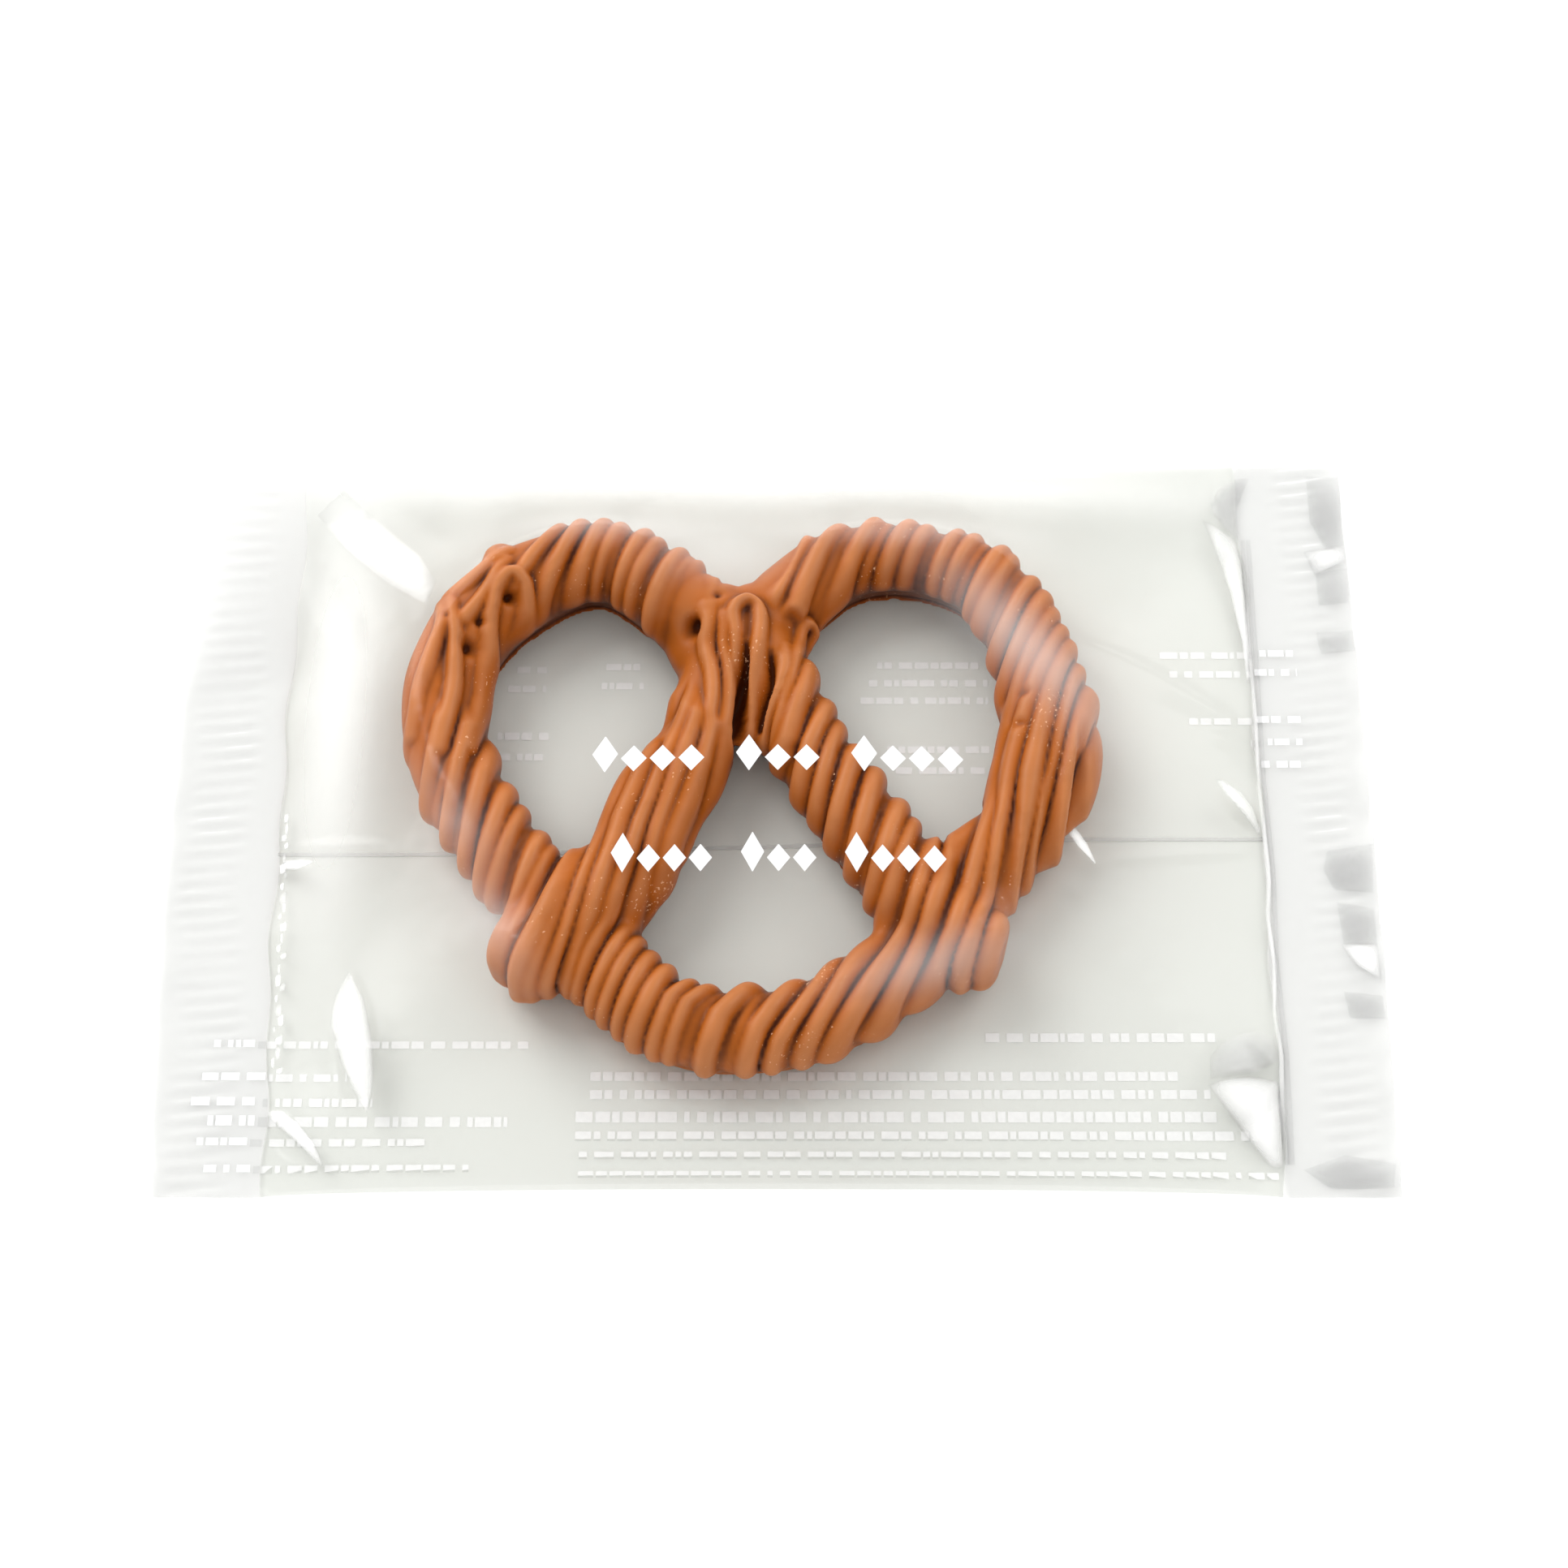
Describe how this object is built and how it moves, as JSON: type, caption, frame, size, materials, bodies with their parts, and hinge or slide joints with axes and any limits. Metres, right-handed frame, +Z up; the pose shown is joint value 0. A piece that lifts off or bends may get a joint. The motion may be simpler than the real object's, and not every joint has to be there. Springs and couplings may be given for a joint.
{
  "type": "pretzel",
  "caption": "Chocolate-coated pretzel twist with drizzled ridges, in a clear sealed flow pack that lies flat, with ribbed seals at both ends.",
  "frame": {"origin": "on the table, under the middle of the pack", "axes": "+X along the pack from the left end seal to the right one, +Y away from the viewer towards the pretzel's two round lobes, +Z up"},
  "size_m": [0.1384, 0.0958, 0.0134],
  "materials": {
    "clear_film": "thin clear glossy film",
    "milk_chocolate": "satin milk chocolate coating with drizzled ridges and fine pale specks",
    "white_print": "opaque white ink on the film"
  },
  "bodies": {
    "root": {"pretzel_packet": "clear_film"}
  },
  "joints": []
}
